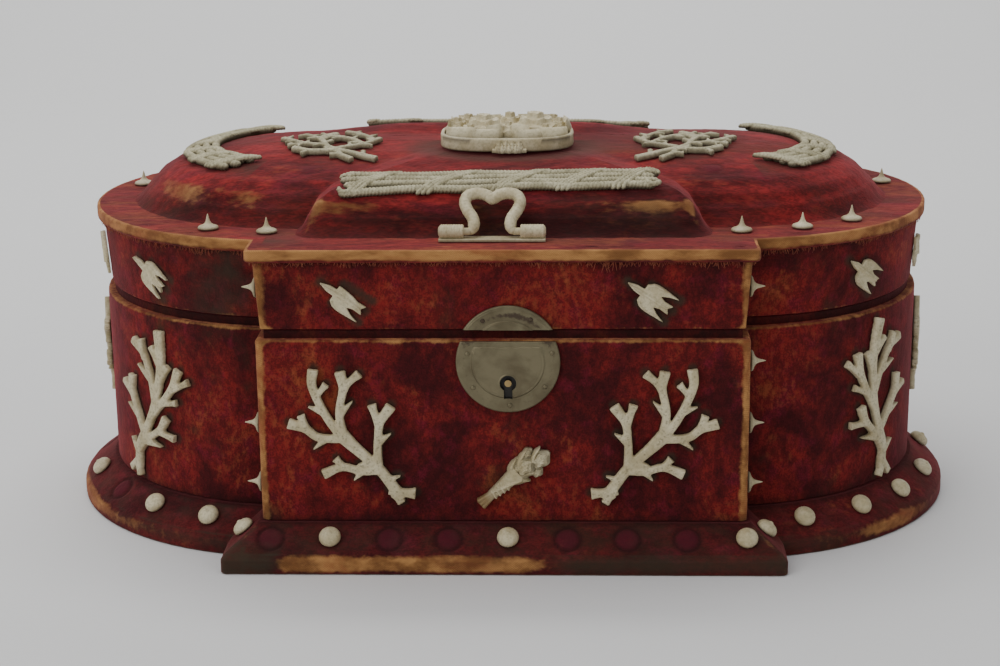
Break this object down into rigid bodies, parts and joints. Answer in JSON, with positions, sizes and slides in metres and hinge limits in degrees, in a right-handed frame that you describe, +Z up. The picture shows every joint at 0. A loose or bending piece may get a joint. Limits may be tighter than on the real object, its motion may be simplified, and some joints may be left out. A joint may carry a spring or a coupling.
{
  "type": "sewing box",
  "caption": "Velvet-covered wooden sewing box with rounded ends, a block standing forward in front, a domed hinged lid, a small lock, a bail pull and carved bone ornaments.",
  "frame": {"origin": "on the floor, under the middle of the line that joins the centres of both round ends", "axes": "+X to the right seen from the front, -Y towards the front, +Z up"},
  "size_m": [0.36, 0.2136, 0.157],
  "materials": {
    "velvet": "wood covered with worn crimson velvet",
    "worn_velvet": "wood covered with velvet worn to golden threads at the edge",
    "bone": "carved bone, aged",
    "dusty_bone": "carved bone, dusty",
    "nickel": "tarnished plated sheet",
    "brass": "aged brass"
  },
  "bodies": {
    "box": {"plinth": "velvet", "box_body": "velvet", "lock": "nickel", "hinge_left_body": "brass", "hinge_right_body": "brass", "coral_front_left": "bone", "coral_front_right": "bone", "coral_bow_left": "bone", "coral_bow_right": "bone", "coral_end_left": "bone", "coral_end_right": "bone", "bouquet": "bone", "plinth_stud_front_1": "bone", "plinth_stud_front_2": "bone", "plinth_stud_front_3": "bone", "plinth_stud_return_left": "bone", "plinth_stud_return_right": "bone", "plinth_stud_left_1": "bone", "plinth_stud_left_2": "bone", "plinth_stud_left_3": "bone", "plinth_stud_right_1": "bone", "plinth_stud_right_2": "bone", "plinth_stud_right_3": "bone", "plinth_stud_right_4": "bone", "plinth_stud_right_5": "bone", "return_stud_left_1": "bone", "return_stud_left_2": "bone", "return_stud_right_1": "bone", "return_stud_right_2": "bone", "return_stud_right_3": "bone"},
    "lid": {"lid_frame": "velvet", "lid_board": "worn_velvet", "lid_dome": "velvet", "strike_plate": "nickel", "hinge_left_lid": "brass", "hinge_right_lid": "brass", "pull_mount": "bone", "bird_front_left": "bone", "bird_front_right": "bone", "bird_bow_left": "bone", "bird_bow_right": "bone", "bird_end_left": "bone", "bird_end_right": "bone", "rope_bundle_front": "dusty_bone", "rope_bundle_back": "dusty_bone", "garland_left": "dusty_bone", "garland_right": "dusty_bone", "twigs_left": "dusty_bone", "twigs_right": "dusty_bone", "medallion": "bone", "ledge_stud_left_1": "bone", "ledge_stud_left_2": "bone", "ledge_stud_left_3": "bone", "ledge_stud_right_1": "bone", "ledge_stud_right_2": "bone", "ledge_stud_right_3": "bone", "ledge_stud_right_4": "bone", "return_stud_lid_left": "bone", "return_stud_lid_right": "bone"},
    "pull": {"pull_bail": "bone"}
  },
  "joints": [
    {"name": "lid_hinge", "type": "hinge", "parent": "box", "child": "lid", "pos_m": [0, 0.0871, 0.0885], "axis": [-1, 0, 0], "range_deg": [0, 100]},
    {"name": "pull_pivot", "type": "hinge", "parent": "lid", "child": "pull", "pos_m": [-0.0036, -0.089, 0.12495], "axis": [1, 0, 0], "range_deg": [0, 120]}
  ]
}
